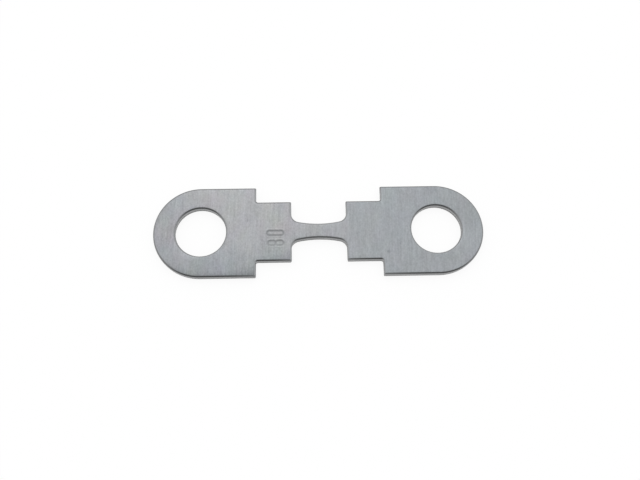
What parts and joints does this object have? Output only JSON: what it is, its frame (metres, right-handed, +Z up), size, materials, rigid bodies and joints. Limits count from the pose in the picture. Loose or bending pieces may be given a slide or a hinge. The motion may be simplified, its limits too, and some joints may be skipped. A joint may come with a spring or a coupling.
{
  "type": "bolt-down strip fuse",
  "caption": "Flat stamped metal strip fuse with round-ended bolting tabs, stepped shoulders and a narrow necked link that melts on overload.",
  "frame": {"origin": "centre of the strip's lower face, midway between the two bolt holes, in the plane that it lies on", "axes": "+X along the strip from one bolt hole to the other, +Y across it, +Z up through the sheet towards the face with the rolled rims"},
  "size_m": [0.042, 0.012, 0.001],
  "materials": {
    "zinc_sheet": "satin rolled zinc sheet with fine streaks across the strip"
  },
  "bodies": {
    "root": {"fuse_strip": "zinc_sheet"}
  },
  "joints": []
}
